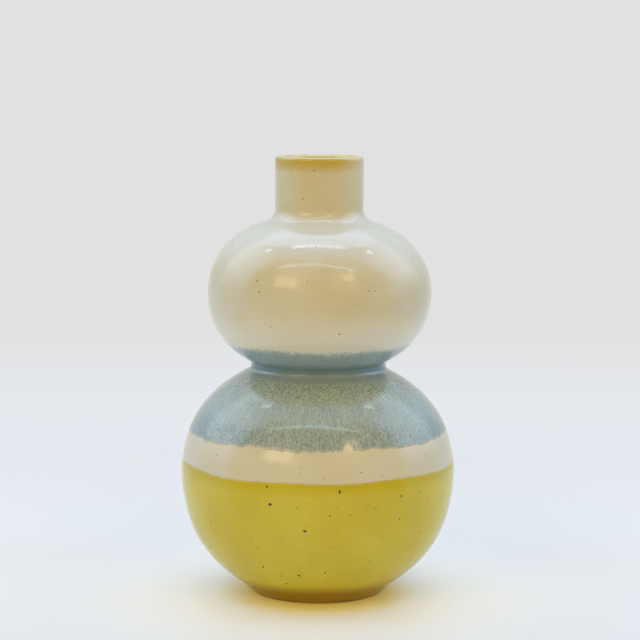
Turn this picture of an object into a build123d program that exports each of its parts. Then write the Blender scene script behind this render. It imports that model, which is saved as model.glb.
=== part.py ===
from build123d import *
from math import atan2, cos, degrees, hypot, radians, sin, sqrt
import os

# Double gourd vase: turned clay sections, the slip that joins them, and the glaze coats.
# Millimetres and degrees. +Z is up and the foot stands on Z = 0, with the axis of turning on Z.
# Every outside size is taken over the glaze. A section is drawn as (distance from axis, height).

# Whole vase
total_height = 280.0
coat = 0.6
clay_wall = 5.0
slip = 0.8

# Foot
foot_height = 8.0
foot_top_radius = 50.1
foot_bottom_radius = 42.2
foot_inner_radius = 34.0
foot_hollow = 1.2
foot_edge_round = 0.8
bare_foot = 1.4
base_thickness = 6.0

# Lower bulb: arcs that run smoothly into one another, above and below the widest ring
lower_radius = 87.6
lower_base_radius = 72.8
lower_flank_radius = 106.0
lower_flank_turn = 15.0
lower_crown_radius = 67.6
lower_crown_turn = 56.7
lower_shoulder_radius = 138.0

# Upper bulb in the same way, with its widest ring set from the mouth
mouth_drop = 86.0
upper_radius = 70.8
upper_base_radius = 45.0
upper_flank_radius = 57.5
upper_flank_turn = 14.5
upper_crown_radius = 45.5
upper_crown_turn = 72.0
upper_shoulder_radius = 145.0

# Waist between the bulbs, and the hollows that run into it and into the neck
waist_radius = 43.0
waist_hollow = 3.8
neck_hollow = 8.0

# Neck and lip
neck_radius = 28.2
lip_outer_round = 2.2
lip_inner_round = 3.0
rim_band = 6.5

# Levels of the glaze bands
yellow_top = 85.5
blue_bottom = 104.0
blue_top = 160.5

# Angles that the drawing uses
half_turn = 180.0
quarter_turn = 90.0

# Depths and levels that follow from the sizes above
wall = clay_wall + 2 * coat
bore_radius = neck_radius - wall
rim_level = total_height - rim_band
floor_level = foot_height + base_thickness
foot_joint = foot_height - slip
reach = 2 * max(lower_radius, upper_radius)


def carried_on(centre, radius, next_radius, angle):
    """Centre of the arc that takes over smoothly from another one at the given angle."""
    shift = radius - next_radius
    return (centre[0] + shift * cos(radians(angle)), centre[1] + shift * sin(radians(angle)))


def bearing(start, end):
    """Direction from one point to another, in degrees."""
    return degrees(atan2(end[1] - start[1], end[0] - start[0]))


def bulb_arcs(ring_radius, ring_level, base, flank, flank_turn, crown, crown_turn, shoulder):
    """The four arcs of a bulb from its base to its top, each as centre, radius, first and last angle."""
    flank_centre = (ring_radius - flank, ring_level)
    base_centre = carried_on(flank_centre, flank, base, -flank_turn)
    crown_centre = (ring_radius - crown, ring_level)
    shoulder_centre = carried_on(crown_centre, crown, shoulder, crown_turn)
    return [
        (base_centre, base, -quarter_turn, -flank_turn),
        (flank_centre, flank, -flank_turn, 0),
        (crown_centre, crown, 0, crown_turn),
        (shoulder_centre, shoulder, crown_turn, quarter_turn),
    ]


def outer_meeting(first, first_radius, second, second_radius):
    """The meeting point of two circles, one above the other, that lies further from the axis."""
    gap = hypot(second[0] - first[0], second[1] - first[1])
    along = (first_radius**2 - second_radius**2 + gap**2) / (2 * gap)
    aside = sqrt(first_radius**2 - along**2)
    across, up = (second[0] - first[0]) / gap, (second[1] - first[1]) / gap
    return (first[0] + along * across + aside * up, first[1] + along * up - aside * across)


def hollow_on_column(arcs, column_radius, hollow, side):
    """Centre of a hollow that touches an upright wall and a bulb above (-1) or below (1) it, with the
    angle at which it touches the bulb."""
    centre_radius = column_radius + hollow
    for centre, radius, first, last in arcs:
        rise = sqrt((radius + hollow) ** 2 - (centre_radius - centre[0]) ** 2)
        hollow_centre = (centre_radius, centre[1] + side * rise)
        angle = bearing(centre, hollow_centre)
        if first <= angle <= last:
            return hollow_centre, angle
    raise ValueError("the bulb doesn't reach the wall")


def hollow_on_bulbs(lower, upper, hollow):
    """Centre of a hollow that touches two bulbs which run into each other, with both angles."""
    for low_centre, low_radius, low_first, low_last in lower:
        for high_centre, high_radius, high_first, high_last in upper:
            hollow_centre = outer_meeting(
                low_centre, low_radius + hollow, high_centre, high_radius + hollow
            )
            low_angle = bearing(low_centre, hollow_centre)
            high_angle = bearing(high_centre, hollow_centre)
            if low_first <= low_angle <= low_last and high_first <= high_angle <= high_last:
                return hollow_centre, low_angle, high_angle
    raise ValueError("the bulbs don't meet")


# The lower bulb sits on the top edge of the foot, which gives the level of its widest ring
base_offset = lower_radius - lower_flank_radius
base_offset += (lower_flank_radius - lower_base_radius) * cos(radians(lower_flank_turn))
base_drop = (lower_flank_radius - lower_base_radius) * sin(radians(lower_flank_turn))
base_drop += sqrt(lower_base_radius**2 - (foot_top_radius - base_offset) ** 2)
lower_level = foot_height + base_drop
upper_level = total_height - mouth_drop

lower_arcs = bulb_arcs(
    lower_radius,
    lower_level,
    lower_base_radius,
    lower_flank_radius,
    lower_flank_turn,
    lower_crown_radius,
    lower_crown_turn,
    lower_shoulder_radius,
)
upper_arcs = bulb_arcs(
    upper_radius,
    upper_level,
    upper_base_radius,
    upper_flank_radius,
    upper_flank_turn,
    upper_crown_radius,
    upper_crown_turn,
    upper_shoulder_radius,
)

# A hollow at each end of the waist, or one for both where the bulbs run into each other
low_waist, low_waist_angle = hollow_on_column(lower_arcs[2:], waist_radius, waist_hollow, 1)
high_waist, high_waist_angle = hollow_on_column(upper_arcs[:2], waist_radius, waist_hollow, -1)
if low_waist[1] > high_waist[1]:
    low_waist, low_waist_angle, high_waist_angle = hollow_on_bulbs(
        lower_arcs[2:], upper_arcs[:2], waist_hollow
    )
    high_waist = low_waist
waist_joint = (low_waist[1] + high_waist[1]) / 2

# The hollow under the neck
neck_centre, neck_angle = hollow_on_column(upper_arcs[2:], neck_radius, neck_hollow, 1)
neck_joint = neck_centre[1]

# The foot leans outwards, and a small hollow touches both the foot and the lower bulb
foot_lean = atan2(foot_height, foot_top_radius - foot_bottom_radius)
foot_along = (cos(foot_lean), sin(foot_lean))
foot_out = (sin(foot_lean), -cos(foot_lean))
base_centre = lower_arcs[0][0]
hollow_start = (
    foot_bottom_radius + foot_hollow * foot_out[0] - base_centre[0],
    foot_hollow * foot_out[1] - base_centre[1],
)
hollow_dot = hollow_start[0] * foot_along[0] + hollow_start[1] * foot_along[1]
hollow_square = (lower_base_radius + foot_hollow) ** 2 - hypot(*hollow_start) ** 2
hollow_run = -hollow_dot - sqrt(hollow_dot**2 + hollow_square)
foot_centre = (
    foot_bottom_radius + foot_hollow * foot_out[0] + hollow_run * foot_along[0],
    foot_hollow * foot_out[1] + hollow_run * foot_along[1],
)
foot_angle = bearing(base_centre, foot_centre)


def bulb_line(arcs, depth, first_angle, last_angle):
    """Draw a bulb at a depth under the glaze, from one angle to another."""
    for centre, radius, first, last in arcs:
        start = max(first, first_angle)
        end = min(last, last_angle)
        if end > start:
            CenterArc(centre, radius - depth, start, end - start)


def hollow_line(centre, radius, start, end):
    """Draw a hollow from one direction to another."""
    if start != end:
        CenterArc(centre, radius, start, end - start)


def wall_line(depth, first_angle, low):
    """Both bulbs and the neck at a depth under the glaze, and the axis down to the given level."""
    bulb_line(lower_arcs, depth, first_angle, low_waist_angle)
    waist = low_waist[0] - waist_hollow - depth
    hollow_line(low_waist, waist_hollow + depth, low_waist_angle + half_turn, half_turn)
    if high_waist[1] > low_waist[1]:
        Line((waist, low_waist[1]), (waist, high_waist[1]))
    hollow_line(high_waist, waist_hollow + depth, half_turn, high_waist_angle + half_turn)
    bulb_line(upper_arcs, depth, high_waist_angle, neck_angle)
    hollow_line(neck_centre, neck_hollow + depth, neck_angle + half_turn, half_turn)
    neck = neck_radius - depth
    Line((neck, neck_joint), (neck, rim_level))
    Line((neck, rim_level), (0, rim_level))
    Line((0, rim_level), (0, low))


def outside_line(depth):
    """The whole outside at a depth under the glaze, from the underside of the foot to the rim level."""
    bottom = foot_bottom_radius - depth / foot_out[0]
    foot_top = (
        foot_centre[0] - (foot_hollow + depth) * foot_out[0],
        foot_centre[1] - (foot_hollow + depth) * foot_out[1],
    )
    Line((0, 0), (bottom, 0))
    Line((bottom, 0), foot_top)
    foot_direction = degrees(foot_lean) + quarter_turn
    hollow_line(foot_centre, foot_hollow + depth, foot_direction, foot_angle + half_turn)
    wall_line(depth, foot_angle, 0)


def inside_line(depth, floor):
    """The inside at a depth under the outer glaze, from a flat floor to the rim level."""
    rise = floor - base_centre[1]
    corner = (base_centre[0] + sqrt((lower_base_radius - depth) ** 2 - rise**2), floor)
    Line((0, floor), corner)
    wall_line(depth, bearing(base_centre, corner), floor)


def lip_line(depth):
    """The top of the neck wall, from the rim level up and over the rounded lip."""
    inner = bore_radius + depth
    outer = neck_radius - depth
    top = total_height - depth
    outer_centre = (neck_radius - lip_outer_round, total_height - lip_outer_round)
    inner_centre = (bore_radius + lip_inner_round, total_height - lip_inner_round)
    Line((inner, rim_level), (outer, rim_level))
    Line((outer, rim_level), (outer, outer_centre[1]))
    CenterArc(outer_centre, lip_outer_round - depth, 0, quarter_turn)
    Line((outer_centre[0], top), (inner_centre[0], top))
    CenterArc(inner_centre, lip_inner_round - depth, quarter_turn, quarter_turn)
    Line((inner, inner_centre[1]), (inner, rim_level))


def keep_between(low, high):
    """Keep only the part of the section between two levels."""
    with Locations((reach / 2, (low + high) / 2)):
        Rectangle(reach, high - low, mode=Mode.INTERSECT)


def cut_recess(height):
    """Take the recess under the base out of the section."""
    with Locations((foot_inner_radius / 2, height / 2)):
        Rectangle(foot_inner_radius, height, mode=Mode.SUBTRACT)


# Clay sections, from the foot up
with BuildPart() as foot_ring:
    with BuildSketch(Plane.XZ) as foot_section:
        with BuildLine():
            outside_line(coat)
        make_face()
        keep_between(0, foot_joint)
        cut_recess(foot_height)
        fillet(foot_section.vertices().group_by(Axis.Y)[0], foot_edge_round)
    revolve(axis=Axis.Z)

with BuildPart() as lower_bulb:
    with BuildSketch(Plane.XZ):
        with BuildLine():
            outside_line(coat)
        make_face()
        with BuildLine():
            inside_line(wall - coat, floor_level)
        make_face(mode=Mode.SUBTRACT)
        keep_between(foot_height, waist_joint - slip / 2)
    revolve(axis=Axis.Z)

with BuildPart() as upper_bulb:
    with BuildSketch(Plane.XZ):
        with BuildLine():
            outside_line(coat)
        make_face()
        with BuildLine():
            inside_line(wall - coat, floor_level)
        make_face(mode=Mode.SUBTRACT)
        keep_between(waist_joint + slip / 2, neck_joint - slip)
    revolve(axis=Axis.Z)

with BuildPart() as neck_collar:
    with BuildSketch(Plane.XZ):
        with BuildLine():
            outside_line(coat)
        make_face()
        with BuildLine():
            inside_line(wall - coat, floor_level)
        make_face(mode=Mode.SUBTRACT)
        keep_between(neck_joint, rim_level)
        with BuildLine():
            lip_line(coat)
        make_face()
    revolve(axis=Axis.Z)

# Fired slip in the three joints
with BuildPart() as foot_slip:
    with BuildSketch(Plane.XZ):
        with BuildLine():
            outside_line(coat)
        make_face()
        keep_between(foot_joint, foot_height)
        cut_recess(foot_height)
    revolve(axis=Axis.Z)

with BuildPart() as waist_slip:
    with BuildSketch(Plane.XZ):
        with BuildLine():
            outside_line(coat)
        make_face()
        with BuildLine():
            inside_line(wall - coat, floor_level)
        make_face(mode=Mode.SUBTRACT)
        keep_between(waist_joint - slip / 2, waist_joint + slip / 2)
    revolve(axis=Axis.Z)

with BuildPart() as neck_slip:
    with BuildSketch(Plane.XZ):
        with BuildLine():
            outside_line(coat)
        make_face()
        with BuildLine():
            inside_line(wall - coat, floor_level)
        make_face(mode=Mode.SUBTRACT)
        keep_between(neck_joint - slip, neck_joint)
    revolve(axis=Axis.Z)

# Glaze coats outside, from the foot up
with BuildPart() as yellow_glaze:
    with BuildSketch(Plane.XZ):
        with BuildLine():
            outside_line(0)
        make_face()
        with BuildLine():
            outside_line(coat)
        make_face(mode=Mode.SUBTRACT)
        keep_between(bare_foot, yellow_top)
    revolve(axis=Axis.Z)

with BuildPart() as cream_band_glaze:
    with BuildSketch(Plane.XZ):
        with BuildLine():
            outside_line(0)
        make_face()
        with BuildLine():
            outside_line(coat)
        make_face(mode=Mode.SUBTRACT)
        keep_between(yellow_top, blue_bottom)
    revolve(axis=Axis.Z)

with BuildPart() as blue_glaze:
    with BuildSketch(Plane.XZ):
        with BuildLine():
            outside_line(0)
        make_face()
        with BuildLine():
            outside_line(coat)
        make_face(mode=Mode.SUBTRACT)
        keep_between(blue_bottom, blue_top)
    revolve(axis=Axis.Z)

with BuildPart() as upper_cream_glaze:
    with BuildSketch(Plane.XZ):
        with BuildLine():
            outside_line(0)
        make_face()
        with BuildLine():
            outside_line(coat)
        make_face(mode=Mode.SUBTRACT)
        keep_between(blue_top, rim_level)
    revolve(axis=Axis.Z)

with BuildPart() as rim_glaze:
    with BuildSketch(Plane.XZ):
        with BuildLine():
            lip_line(0)
        make_face()
        with BuildLine():
            lip_line(coat)
        make_face(mode=Mode.SUBTRACT)
    revolve(axis=Axis.Z)

# Glaze inside
with BuildPart() as liner_glaze:
    with BuildSketch(Plane.XZ):
        with BuildLine():
            inside_line(wall - coat, floor_level)
        make_face()
        with BuildLine():
            inside_line(wall, floor_level + coat)
        make_face(mode=Mode.SUBTRACT)
    revolve(axis=Axis.Z)

foot_ring.part.label = "foot_ring"
lower_bulb.part.label = "lower_bulb"
upper_bulb.part.label = "upper_bulb"
neck_collar.part.label = "neck_collar"
foot_slip.part.label = "foot_slip"
waist_slip.part.label = "waist_slip"
neck_slip.part.label = "neck_slip"
yellow_glaze.part.label = "yellow_glaze"
cream_band_glaze.part.label = "cream_band_glaze"
blue_glaze.part.label = "blue_glaze"
upper_cream_glaze.part.label = "upper_cream_glaze"
rim_glaze.part.label = "rim_glaze"
liner_glaze.part.label = "liner_glaze"

os.makedirs("parts", exist_ok=True)
export_step(foot_ring.part, "parts/foot_ring.step")
export_step(lower_bulb.part, "parts/lower_bulb.step")
export_step(upper_bulb.part, "parts/upper_bulb.step")
export_step(neck_collar.part, "parts/neck_collar.step")
export_step(foot_slip.part, "parts/foot_slip.step")
export_step(waist_slip.part, "parts/waist_slip.step")
export_step(neck_slip.part, "parts/neck_slip.step")
export_step(yellow_glaze.part, "parts/yellow_glaze.step")
export_step(cream_band_glaze.part, "parts/cream_band_glaze.step")
export_step(blue_glaze.part, "parts/blue_glaze.step")
export_step(upper_cream_glaze.part, "parts/upper_cream_glaze.step")
export_step(rim_glaze.part, "parts/rim_glaze.step")
export_step(liner_glaze.part, "parts/liner_glaze.step")
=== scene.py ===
"""Double gourd vase in layered glazes: the finished pieces and the studio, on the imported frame."""
import math

import bmesh
import bpy
import numpy as np
from mathutils import Matrix, Vector


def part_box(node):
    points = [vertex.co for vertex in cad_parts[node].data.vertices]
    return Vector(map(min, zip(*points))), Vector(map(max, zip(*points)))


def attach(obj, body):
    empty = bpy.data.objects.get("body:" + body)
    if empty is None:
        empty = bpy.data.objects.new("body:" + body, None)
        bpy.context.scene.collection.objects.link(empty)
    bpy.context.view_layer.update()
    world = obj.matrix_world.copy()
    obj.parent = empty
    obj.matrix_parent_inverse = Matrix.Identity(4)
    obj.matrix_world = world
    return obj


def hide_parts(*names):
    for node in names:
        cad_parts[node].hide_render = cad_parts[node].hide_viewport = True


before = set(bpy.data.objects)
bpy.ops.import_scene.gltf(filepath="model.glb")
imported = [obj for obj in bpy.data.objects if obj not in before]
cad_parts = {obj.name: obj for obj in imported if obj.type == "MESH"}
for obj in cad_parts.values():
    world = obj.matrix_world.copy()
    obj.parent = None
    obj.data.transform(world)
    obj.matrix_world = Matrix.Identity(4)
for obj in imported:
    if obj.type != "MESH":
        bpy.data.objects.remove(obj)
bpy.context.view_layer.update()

bl_info = {
    "name": "Double gourd vase",
    "version": (1, 0, 0),
    "blender": (4, 5, 0),
    "location": "3D View > Sidebar > Vase",
    "description": "Builds the glaze coats, the foot and the studio of a double gourd vase",
    "category": "Object",
}

MILLIMETRE = 0.001
COLUMNS = 640
FRONT = -math.pi / 2
YELLOW_LIFT = 0.16 * MILLIMETRE


# Properties that a user would change

def length(label, description, millimetres):
    """A size in metres, from its value in millimetres."""
    return bpy.props.FloatProperty(
        name=label,
        description=description,
        default=millimetres * MILLIMETRE,
        unit="LENGTH",
        precision=5,
    )


def turn(label, description, degrees):
    """An angle in radians, from its value in degrees."""
    return bpy.props.FloatProperty(
        name=label,
        description=description,
        default=math.radians(degrees),
        unit="ROTATION",
    )


def level(label, description, default):
    """A plain number, such as the brightness of a lamp."""
    return bpy.props.FloatProperty(name=label, description=description, default=default)


def linear(red, green, blue):
    """Linear light from a screen colour of 0 to 255, by the usual screen curve."""
    screen = np.array((red, green, blue)) / 255.0
    light = np.where(screen <= 0.04045, screen / 12.92, ((screen + 0.055) / 1.055) ** 2.4)
    return tuple(float(part) for part in light)


def colour(label, description, red, green, blue):
    """A colour, given as it looks on screen."""
    return bpy.props.FloatVectorProperty(
        name=label,
        description=description,
        subtype="COLOR",
        size=3,
        min=0.0,
        max=1.0,
        default=linear(red, green, blue),
    )


class VaseSizes(bpy.types.PropertyGroup):
    """Sizes of the outline, the same as those of the solids."""

    total_height: length("Total height", "From the floor to the top of the lip", 280.0)
    coat: length("Coat", "Thickness of a glaze coat", 0.6)
    wall: length("Wall", "Clay and both coats together", 6.2)
    foot_height: length("Foot height", "Level where the foot meets the lower bulb", 8.0)
    foot_top_radius: length("Foot top radius", "Radius of the foot where it meets the bulb", 50.1)
    foot_bottom_radius: length("Foot bottom radius", "Radius of the foot on the floor", 42.2)
    foot_inner_radius: length("Foot inner radius", "Radius of the hollow under the foot", 34.0)
    foot_hollow: length("Foot hollow", "Radius of the hollow above the foot", 1.2)
    bare_foot: length("Bare foot", "Height of the bare clay at the floor", 1.4)
    floor_level: length("Floor level", "Level of the glazed floor inside", 14.6)
    lower_radius: length("Lower radius", "Widest radius of the lower bulb", 87.6)
    lower_base: length("Lower base", "Arc below the lower bulb's flank", 72.8)
    lower_flank: length("Lower flank", "Arc below the lower bulb's widest level", 106.0)
    lower_flank_turn: turn("Lower flank turn", "Angle of the lower flank's arc", 15.0)
    lower_crown: length("Lower crown", "Arc above the lower bulb's widest level", 67.6)
    lower_crown_turn: turn("Lower crown turn", "Angle of the lower crown's arc", 56.7)
    lower_shoulder: length("Lower shoulder", "Arc that runs up to the waist", 138.0)
    mouth_drop: length("Mouth drop", "From the lip down to the upper bulb's widest level", 86.0)
    upper_radius: length("Upper radius", "Widest radius of the upper bulb", 70.8)
    upper_base: length("Upper base", "Arc below the upper bulb's flank", 45.0)
    upper_flank: length("Upper flank", "Arc below the upper bulb's widest level", 57.5)
    upper_flank_turn: turn("Upper flank turn", "Angle of the upper flank's arc", 14.5)
    upper_crown: length("Upper crown", "Arc above the upper bulb's widest level", 45.5)
    upper_crown_turn: turn("Upper crown turn", "Angle of the upper crown's arc", 72.0)
    upper_shoulder: length("Upper shoulder", "Arc that runs up to the neck", 145.0)
    waist_radius: length("Waist radius", "Radius of the waist", 43.0)
    waist_hollow: length("Waist hollow", "Radius of the two hollows at the waist", 3.8)
    neck_radius: length("Neck radius", "Radius of the neck", 28.2)
    neck_hollow: length("Neck hollow", "Radius of the hollow below the neck", 8.0)
    lip_outer_round: length("Lip outer round", "Outer rounding of the lip", 2.2)
    lip_inner_round: length("Lip inner round", "Inner rounding of the lip", 3.0)
    rim_band: length("Rim band", "Height of the ochre band at the lip", 6.5)
    yellow_top: length("Yellow top", "Level where the yellow coat ends", 85.5)
    blue_bottom: length("Blue bottom", "Level where the blue coat begins", 104.0)
    blue_top: length("Blue top", "Level where the blue coat ends", 160.5)


class GlazeColours(bpy.types.PropertyGroup):
    """Colours of the glazes and the clay, as they look in plain light, but for painted light or shade in a
    few: the cool cream, the pale cream, the deep blue and the foot brown.
    """

    cream: colour("Cream", "Pale glaze of the upper bulb and the band", 200, 192, 163)
    # Pale cream partly holds painted light: above the blue it lightens the upper bulb's underside, as
    # bounce light from below.
    cream_pale: colour("Pale cream", "Cream above the blue and under it", 212, 208, 188)
    # Painted skylight: the shoulder's cream is made paler and cooler for the roof's light.
    cream_skylit: colour("Cool cream", "Cream on the shoulder of the upper bulb", 207, 210, 201)
    cream_warm: colour("Warm cream", "Cream where it lies thin", 194, 184, 149)
    lip_pale: colour("Pale lip", "Glaze just inside the lip", 206, 192, 112)
    ochre: colour("Ochre", "Glaze that breaks to ochre on edges", 182, 156, 62)
    yellow: colour("Yellow", "Glaze of the lower bulb", 198, 185, 55)
    yellow_deep: colour("Deep yellow", "Yellow where it pools and runs", 188, 168, 18)
    # Foot brown is partly painted shade: it darkens the foot and the underside of the lower bulb just above
    # it.
    foot_brown: colour("Foot brown", "Yellow where it thins over the foot", 143, 110, 2)
    blue: colour("Blue", "Grey blue of the waist", 142, 159, 158)
    blue_pale: colour("Pale blue", "Milky blue of the runs", 172, 183, 176)
    # Deep blue is painted shade: it darkens the waist groove.
    blue_groove_shade: colour("Deep blue", "Blue where it pools in the groove", 92, 119, 122)
    olive: colour("Olive", "Olive yellow that breaks through the blue", 174, 187, 150)
    olive_dark: colour("Dark olive", "Dark grains in the olive", 92, 109, 96)
    iron: colour("Iron", "Dark specks in the glaze", 50, 33, 8)
    clay: colour("Clay", "Bare fired clay", 150, 112, 70)
    slip: colour("Slip", "Clay slip in the joints", 132, 98, 62)


class StudioLight(bpy.types.PropertyGroup):
    """Levels of the light and colours of the studio."""

    floor: colour("Floor", "Colour of the floor behind", 236, 231, 225)
    floor_front: colour("Front floor", "Colour of the floor in front", 243, 244, 245)
    glow: colour("Glow", "Yellow light that the vase throws on the floor round its foot", 255, 232, 70)
    backdrop_low: colour("Backdrop low", "Background behind the foot", 230, 234, 240)
    backdrop_high: colour("Backdrop high", "Background behind the neck", 225, 225, 225)
    tent: colour("Tent", "Colour of the light tent", 203, 226, 255)
    shine: colour("Shine", "Colour of the tent's lamps where the glaze mirrors them", 188, 210, 250)
    room: colour("Room", "Colour of the room in front", 255, 228, 172)
    tent_level: level("Tent level", "Brightness of the light tent", 0.50)
    room_level: level("Room level", "Brightness of the room in front", 0.80)
    roof_level: level("Roof level", "Brightness of the tent's roof", 1.10)
    wall_level: level("Wall level", "Brightness of the tent's side walls", 0.70)
    window_level: level("Window level", "Brightness of the two windows in front", 1.7)
    mirrored_tent: level("Mirrored tent", "Brightness of the mirrored tent near the floor", 0.92)
    mirrored_climb: level("Mirrored climb", "How the mirrored tent brightens towards its top", 6.5)
    mirrored_wall: level("Mirrored wall", "Brightness that the upper wall adds to the mirrored tent", 2.3)
    mirrored_flap: level("Mirrored flap", "Brightness that the front of the roof adds", 0.75)
    mirrored_roof: level("Mirrored roof", "Brightness that the rest of the roof adds to that", 1.5)
    mirrored_oval: level("Mirrored oval", "Brightness of the mirrored lamp in the roof", 0.35)
    mirrored_strip: level("Mirrored strip", "Brightness of the mirrored lamp strips in the roof", 5.0)
    mirrored_bar: level("Mirrored bar", "Brightness of the mirrored front edge of the tent", 3.2)


# The outline, from the foot up the outside, over the lip and down the inside

def carried_on(centre, radius, next_radius, angle):
    """Centre of the arc that carries on from another one at an angle: the old centre, moved along
    the direction of that angle by the difference of the two radii, so that both share a tangent."""
    direction = np.array((math.cos(angle), math.sin(angle)))
    return np.asarray(centre) + (radius - next_radius) * direction


def bulb_arcs(widest, middle, base, flank, flank_turn, crown, crown_turn, shoulder):
    """The four arcs of a bulb from bottom to top, each as centre, radius, first and last angle."""
    flank_centre = np.array((widest - flank, middle))
    crown_centre = np.array((widest - crown, middle))
    base_centre = carried_on(flank_centre, flank, base, -flank_turn)
    shoulder_centre = carried_on(crown_centre, crown, shoulder, crown_turn)
    return [
        [base_centre, base, -math.pi / 2, -flank_turn],
        [flank_centre, flank, -flank_turn, 0.0],
        [crown_centre, crown, 0.0, crown_turn],
        [shoulder_centre, shoulder, crown_turn, math.pi / 2],
    ]


def bearing(start, end):
    """Direction from one point to another, as an angle."""
    return math.atan2(end[1] - start[1], end[0] - start[0])


def hollow_on_column(arc, hollow, column, side):
    """Centre of the hollow between a straight column and a bulb's arc: outside the column by its
    own radius, and as far from the arc's centre as both radii together, above or below it."""
    centre, radius = arc[0], arc[1]
    across = column + hollow - centre[0]
    return np.array((column + hollow, centre[1] + side * math.sqrt((radius + hollow) ** 2 - across ** 2)))


def hollow_in_corner(corner, direction, arc, hollow):
    """Centre of the hollow in the corner of a straight line and a bulb's arc: on the line moved out
    by the hollow's radius, and as far from the arc's centre as both radii together."""
    centre, radius = arc[0], arc[1]
    outward = np.array((direction[1], -direction[0]))
    start = corner + hollow * outward - centre
    along = float(start @ direction)
    reach = math.sqrt(along ** 2 - float(start @ start) + (radius + hollow) ** 2)
    step = min((-along - reach, -along + reach), key=abs)
    return centre + start + step * direction


def arc_stroke(centre, radius, first, last):
    """Points of an arc and their outward directions, which lie to the right of the travel."""
    count = max(3, int(abs(last - first) * radius / (0.25 * MILLIMETRE)))
    angles = np.linspace(first, last, count)
    spoke = np.stack((np.cos(angles), np.sin(angles)), axis=1)
    side = 1.0 if last > first else -1.0
    return np.asarray(centre) + radius * spoke, side * spoke


def line_stroke(start, end):
    """Points of a straight line and their outward directions, to the right of the travel."""
    start = np.asarray(start, dtype=float)
    end = np.asarray(end, dtype=float)
    span = float(np.linalg.norm(end - start))
    count = max(2, int(span / (0.5 * MILLIMETRE)))
    share = np.linspace(0.0, 1.0, count)[:, None]
    ahead = (end - start) / span
    outward = np.array((ahead[1], -ahead[0]))
    return start + share * (end - start), np.repeat(outward[None, :], count, axis=0)


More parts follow.
